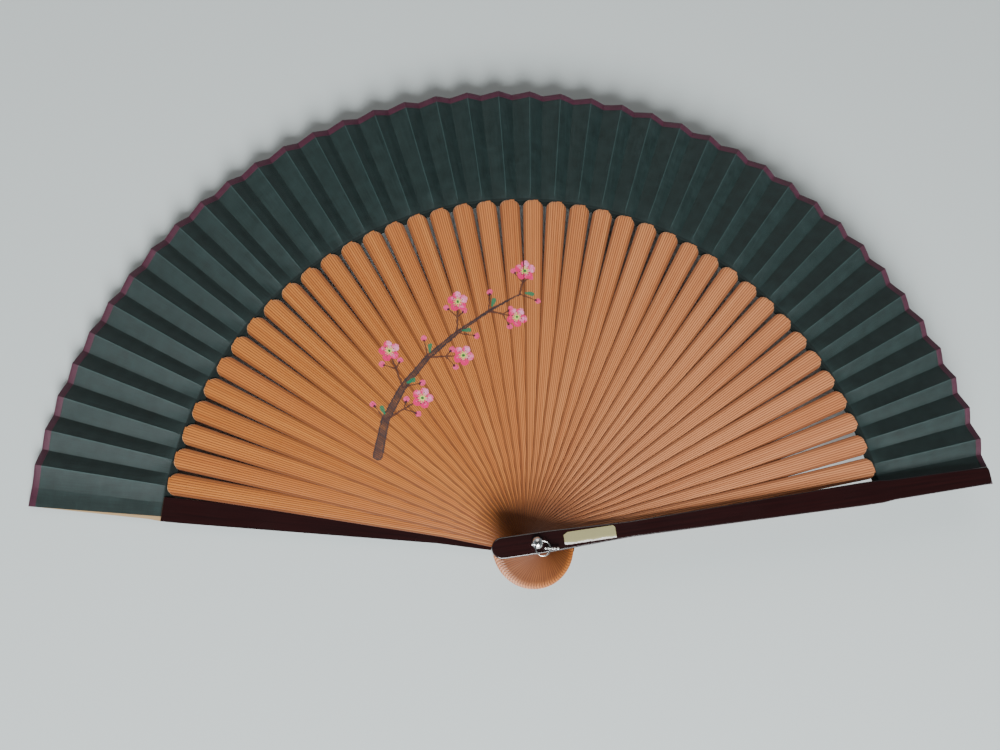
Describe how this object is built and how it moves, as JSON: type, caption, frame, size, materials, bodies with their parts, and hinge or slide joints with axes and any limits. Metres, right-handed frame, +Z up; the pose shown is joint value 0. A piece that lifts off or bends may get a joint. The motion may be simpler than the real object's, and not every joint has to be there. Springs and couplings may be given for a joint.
{
  "type": "folding hand fan",
  "caption": "Folding hand fan: bamboo sticks between two lacquered guards on one rivet, with a pleated silk leaf, a rim tape and a jump ring with ball chain.",
  "frame": {"origin": "on the rivet's axis, at the underside of the back guard", "axes": "+Z up through the stack of sticks, towards the front guard and the rivet's domed head; +Y along the middle of the open fan; +X to the right, towards the front guard"},
  "size_m": [0.3806, 0.2085, 0.0208],
  "materials": {
    "bamboo": "smooth split bamboo, fine lengthwise grain, clear satin coat",
    "lacquer": "dark red-brown gloss lacquer",
    "silk": "thin dark green silk, soft sheen",
    "tape": "burgundy folded tape",
    "steel": "bright nickel plate",
    "paper": "blank khaki paper"
  },
  "bodies": {
    "guard_back": {"guard_back": "lacquer", "silk_leaf": "silk", "rim_tape": "tape", "rivet": "steel", "rivet_washer": "steel"},
    "guard_front": {"guard_front": "lacquer", "blank_label": "paper"},
    "stick_01": {"stick_01": "bamboo"},
    "stick_02": {"stick_02": "bamboo"},
    "stick_03": {"stick_03": "bamboo"},
    "stick_04": {"stick_04": "bamboo"},
    "stick_05": {"stick_05": "bamboo"},
    "stick_06": {"stick_06": "bamboo"},
    "stick_07": {"stick_07": "bamboo"},
    "stick_08": {"stick_08": "bamboo"},
    "stick_09": {"stick_09": "bamboo"},
    "stick_10": {"stick_10": "bamboo"},
    "stick_11": {"stick_11": "bamboo"},
    "stick_12": {"stick_12": "bamboo"},
    "stick_13": {"stick_13": "bamboo"},
    "stick_14": {"stick_14": "bamboo"},
    "stick_15": {"stick_15": "bamboo"},
    "stick_16": {"stick_16": "bamboo"},
    "stick_17": {"stick_17": "bamboo"},
    "stick_18": {"stick_18": "bamboo"},
    "stick_19": {"stick_19": "bamboo"},
    "stick_20": {"stick_20": "bamboo"},
    "stick_21": {"stick_21": "bamboo"},
    "stick_22": {"stick_22": "bamboo"},
    "stick_23": {"stick_23": "bamboo"},
    "stick_24": {"stick_24": "bamboo"},
    "stick_25": {"stick_25": "bamboo"},
    "stick_26": {"stick_26": "bamboo"},
    "stick_27": {"stick_27": "bamboo"},
    "stick_28": {"stick_28": "bamboo"},
    "stick_29": {"stick_29": "bamboo"},
    "stick_30": {"stick_30": "bamboo"},
    "stick_31": {"stick_31": "bamboo"},
    "stick_32": {"stick_32": "bamboo"},
    "stick_33": {"stick_33": "bamboo"},
    "stick_34": {"stick_34": "bamboo"},
    "stick_35": {"stick_35": "bamboo"},
    "stick_36": {"stick_36": "bamboo"},
    "stick_37": {"stick_37": "bamboo"},
    "stick_38": {"stick_38": "bamboo"},
    "stick_39": {"stick_39": "bamboo"},
    "stick_40": {"stick_40": "bamboo"},
    "jump_ring": {"jump_ring": "steel"},
    "ball_chain": {"ball_chain": "steel"}
  },
  "joints": [
    {"name": "guard_fold", "type": "hinge", "parent": "guard_back", "child": "guard_front", "pos_m": [0, 0, 0], "axis": [0, 0, 1], "range_deg": [0, 166.4], "deforming": ["silk_leaf", "rim_tape"]},
    {"name": "stick_01_fold", "type": "hinge", "parent": "guard_back", "child": "stick_01", "pos_m": [0, 0, 0], "axis": [0, 0, 1], "range_deg": [0, 4.07]},
    {"name": "stick_02_fold", "type": "hinge", "parent": "guard_back", "child": "stick_02", "pos_m": [0, 0, 0], "axis": [0, 0, 1], "range_deg": [0, 8.13]},
    {"name": "stick_03_fold", "type": "hinge", "parent": "guard_back", "child": "stick_03", "pos_m": [0, 0, 0], "axis": [0, 0, 1], "range_deg": [0, 12.19]},
    {"name": "stick_04_fold", "type": "hinge", "parent": "guard_back", "child": "stick_04", "pos_m": [0, 0, 0], "axis": [0, 0, 1], "range_deg": [0, 16.24]},
    {"name": "stick_05_fold", "type": "hinge", "parent": "guard_back", "child": "stick_05", "pos_m": [0, 0, 0], "axis": [0, 0, 1], "range_deg": [0, 20.3]},
    {"name": "stick_06_fold", "type": "hinge", "parent": "guard_back", "child": "stick_06", "pos_m": [0, 0, 0], "axis": [0, 0, 1], "range_deg": [0, 24.36]},
    {"name": "stick_07_fold", "type": "hinge", "parent": "guard_back", "child": "stick_07", "pos_m": [0, 0, 0], "axis": [0, 0, 1], "range_deg": [0, 28.42]},
    {"name": "stick_08_fold", "type": "hinge", "parent": "guard_back", "child": "stick_08", "pos_m": [0, 0, 0], "axis": [0, 0, 1], "range_deg": [0, 32.48]},
    {"name": "stick_09_fold", "type": "hinge", "parent": "guard_back", "child": "stick_09", "pos_m": [0, 0, 0], "axis": [0, 0, 1], "range_deg": [0, 36.54]},
    {"name": "stick_10_fold", "type": "hinge", "parent": "guard_back", "child": "stick_10", "pos_m": [0, 0, 0], "axis": [0, 0, 1], "range_deg": [0, 40.6]},
    {"name": "stick_11_fold", "type": "hinge", "parent": "guard_back", "child": "stick_11", "pos_m": [0, 0, 0], "axis": [0, 0, 1], "range_deg": [0, 44.65]},
    {"name": "stick_12_fold", "type": "hinge", "parent": "guard_back", "child": "stick_12", "pos_m": [0, 0, 0], "axis": [0, 0, 1], "range_deg": [0, 48.71]},
    {"name": "stick_13_fold", "type": "hinge", "parent": "guard_back", "child": "stick_13", "pos_m": [0, 0, 0], "axis": [0, 0, 1], "range_deg": [0, 52.77]},
    {"name": "stick_14_fold", "type": "hinge", "parent": "guard_back", "child": "stick_14", "pos_m": [0, 0, 0], "axis": [0, 0, 1], "range_deg": [0, 56.83]},
    {"name": "stick_15_fold", "type": "hinge", "parent": "guard_back", "child": "stick_15", "pos_m": [0, 0, 0], "axis": [0, 0, 1], "range_deg": [0, 60.89]},
    {"name": "stick_16_fold", "type": "hinge", "parent": "guard_back", "child": "stick_16", "pos_m": [0, 0, 0], "axis": [0, 0, 1], "range_deg": [0, 64.95]},
    {"name": "stick_17_fold", "type": "hinge", "parent": "guard_back", "child": "stick_17", "pos_m": [0, 0, 0], "axis": [0, 0, 1], "range_deg": [0, 69.01]},
    {"name": "stick_18_fold", "type": "hinge", "parent": "guard_back", "child": "stick_18", "pos_m": [0, 0, 0], "axis": [0, 0, 1], "range_deg": [0, 73.06]},
    {"name": "stick_19_fold", "type": "hinge", "parent": "guard_back", "child": "stick_19", "pos_m": [0, 0, 0], "axis": [0, 0, 1], "range_deg": [0, 77.12]},
    {"name": "stick_20_fold", "type": "hinge", "parent": "guard_back", "child": "stick_20", "pos_m": [0, 0, 0], "axis": [0, 0, 1], "range_deg": [0, 81.18]},
    {"name": "stick_21_fold", "type": "hinge", "parent": "guard_back", "child": "stick_21", "pos_m": [0, 0, 0], "axis": [0, 0, 1], "range_deg": [0, 85.24]},
    {"name": "stick_22_fold", "type": "hinge", "parent": "guard_back", "child": "stick_22", "pos_m": [0, 0, 0], "axis": [0, 0, 1], "range_deg": [0, 89.3]},
    {"name": "stick_23_fold", "type": "hinge", "parent": "guard_back", "child": "stick_23", "pos_m": [0, 0, 0], "axis": [0, 0, 1], "range_deg": [0, 93.36]},
    {"name": "stick_24_fold", "type": "hinge", "parent": "guard_back", "child": "stick_24", "pos_m": [0, 0, 0], "axis": [0, 0, 1], "range_deg": [0, 97.41]},
    {"name": "stick_25_fold", "type": "hinge", "parent": "guard_back", "child": "stick_25", "pos_m": [0, 0, 0], "axis": [0, 0, 1], "range_deg": [0, 101.47]},
    {"name": "stick_26_fold", "type": "hinge", "parent": "guard_back", "child": "stick_26", "pos_m": [0, 0, 0], "axis": [0, 0, 1], "range_deg": [0, 105.53]},
    {"name": "stick_27_fold", "type": "hinge", "parent": "guard_back", "child": "stick_27", "pos_m": [0, 0, 0], "axis": [0, 0, 1], "range_deg": [0, 109.59]},
    {"name": "stick_28_fold", "type": "hinge", "parent": "guard_back", "child": "stick_28", "pos_m": [0, 0, 0], "axis": [0, 0, 1], "range_deg": [0, 113.65]},
    {"name": "stick_29_fold", "type": "hinge", "parent": "guard_back", "child": "stick_29", "pos_m": [0, 0, 0], "axis": [0, 0, 1], "range_deg": [0, 117.71]},
    {"name": "stick_30_fold", "type": "hinge", "parent": "guard_back", "child": "stick_30", "pos_m": [0, 0, 0], "axis": [0, 0, 1], "range_deg": [0, 121.77]},
    {"name": "stick_31_fold", "type": "hinge", "parent": "guard_back", "child": "stick_31", "pos_m": [0, 0, 0], "axis": [0, 0, 1], "range_deg": [0, 125.82]},
    {"name": "stick_32_fold", "type": "hinge", "parent": "guard_back", "child": "stick_32", "pos_m": [0, 0, 0], "axis": [0, 0, 1], "range_deg": [0, 129.88]},
    {"name": "stick_33_fold", "type": "hinge", "parent": "guard_back", "child": "stick_33", "pos_m": [0, 0, 0], "axis": [0, 0, 1], "range_deg": [0, 133.94]},
    {"name": "stick_34_fold", "type": "hinge", "parent": "guard_back", "child": "stick_34", "pos_m": [0, 0, 0], "axis": [0, 0, 1], "range_deg": [0, 138]},
    {"name": "stick_35_fold", "type": "hinge", "parent": "guard_back", "child": "stick_35", "pos_m": [0, 0, 0], "axis": [0, 0, 1], "range_deg": [0, 142.06]},
    {"name": "stick_36_fold", "type": "hinge", "parent": "guard_back", "child": "stick_36", "pos_m": [0, 0, 0], "axis": [0, 0, 1], "range_deg": [0, 146.12]},
    {"name": "stick_37_fold", "type": "hinge", "parent": "guard_back", "child": "stick_37", "pos_m": [0, 0, 0], "axis": [0, 0, 1], "range_deg": [0, 150.18]},
    {"name": "stick_38_fold", "type": "hinge", "parent": "guard_back", "child": "stick_38", "pos_m": [0, 0, 0], "axis": [0, 0, 1], "range_deg": [0, 154.23]},
    {"name": "stick_39_fold", "type": "hinge", "parent": "guard_back", "child": "stick_39", "pos_m": [0, 0, 0], "axis": [0, 0, 1], "range_deg": [0, 158.29]},
    {"name": "stick_40_fold", "type": "hinge", "parent": "guard_back", "child": "stick_40", "pos_m": [0, 0, 0], "axis": [0, 0, 1], "range_deg": [0, 162.35]},
    {"name": "ring_swing", "type": "hinge", "parent": "guard_back", "child": "jump_ring", "pos_m": [0, 0, 0.01966], "axis": [-0.7547, -0.6561, 0], "range_deg": [0, 165]},
    {"name": "chain_slide", "type": "hinge", "parent": "jump_ring", "child": "ball_chain", "pos_m": [0.00183, -0.00211, 0.01951], "axis": [0.0343, -0.0395, 0.9986], "range_deg": [-8, 40]}
  ],
  "couplings": [
    {"joint": "stick_01_fold", "follows": "guard_fold", "ratio": 0.02439},
    {"joint": "stick_02_fold", "follows": "guard_fold", "ratio": 0.04878},
    {"joint": "stick_03_fold", "follows": "guard_fold", "ratio": 0.073171},
    {"joint": "stick_04_fold", "follows": "guard_fold", "ratio": 0.097561},
    {"joint": "stick_05_fold", "follows": "guard_fold", "ratio": 0.12195},
    {"joint": "stick_06_fold", "follows": "guard_fold", "ratio": 0.14634},
    {"joint": "stick_07_fold", "follows": "guard_fold", "ratio": 0.17073},
    {"joint": "stick_08_fold", "follows": "guard_fold", "ratio": 0.19512},
    {"joint": "stick_09_fold", "follows": "guard_fold", "ratio": 0.21951},
    {"joint": "stick_10_fold", "follows": "guard_fold", "ratio": 0.2439},
    {"joint": "stick_11_fold", "follows": "guard_fold", "ratio": 0.26829},
    {"joint": "stick_12_fold", "follows": "guard_fold", "ratio": 0.29268},
    {"joint": "stick_13_fold", "follows": "guard_fold", "ratio": 0.31707},
    {"joint": "stick_14_fold", "follows": "guard_fold", "ratio": 0.34146},
    {"joint": "stick_15_fold", "follows": "guard_fold", "ratio": 0.36585},
    {"joint": "stick_16_fold", "follows": "guard_fold", "ratio": 0.39024},
    {"joint": "stick_17_fold", "follows": "guard_fold", "ratio": 0.41463},
    {"joint": "stick_18_fold", "follows": "guard_fold", "ratio": 0.43902},
    {"joint": "stick_19_fold", "follows": "guard_fold", "ratio": 0.46341},
    {"joint": "stick_20_fold", "follows": "guard_fold", "ratio": 0.4878},
    {"joint": "stick_21_fold", "follows": "guard_fold", "ratio": 0.5122},
    {"joint": "stick_22_fold", "follows": "guard_fold", "ratio": 0.53659},
    {"joint": "stick_23_fold", "follows": "guard_fold", "ratio": 0.56098},
    {"joint": "stick_24_fold", "follows": "guard_fold", "ratio": 0.58537},
    {"joint": "stick_25_fold", "follows": "guard_fold", "ratio": 0.60976},
    {"joint": "stick_26_fold", "follows": "guard_fold", "ratio": 0.63415},
    {"joint": "stick_27_fold", "follows": "guard_fold", "ratio": 0.65854},
    {"joint": "stick_28_fold", "follows": "guard_fold", "ratio": 0.68293},
    {"joint": "stick_29_fold", "follows": "guard_fold", "ratio": 0.70732},
    {"joint": "stick_30_fold", "follows": "guard_fold", "ratio": 0.73171},
    {"joint": "stick_31_fold", "follows": "guard_fold", "ratio": 0.7561},
    {"joint": "stick_32_fold", "follows": "guard_fold", "ratio": 0.78049},
    {"joint": "stick_33_fold", "follows": "guard_fold", "ratio": 0.80488},
    {"joint": "stick_34_fold", "follows": "guard_fold", "ratio": 0.82927},
    {"joint": "stick_35_fold", "follows": "guard_fold", "ratio": 0.85366},
    {"joint": "stick_36_fold", "follows": "guard_fold", "ratio": 0.87805},
    {"joint": "stick_37_fold", "follows": "guard_fold", "ratio": 0.90244},
    {"joint": "stick_38_fold", "follows": "guard_fold", "ratio": 0.92683},
    {"joint": "stick_39_fold", "follows": "guard_fold", "ratio": 0.95122},
    {"joint": "stick_40_fold", "follows": "guard_fold", "ratio": 0.97561}
  ]
}
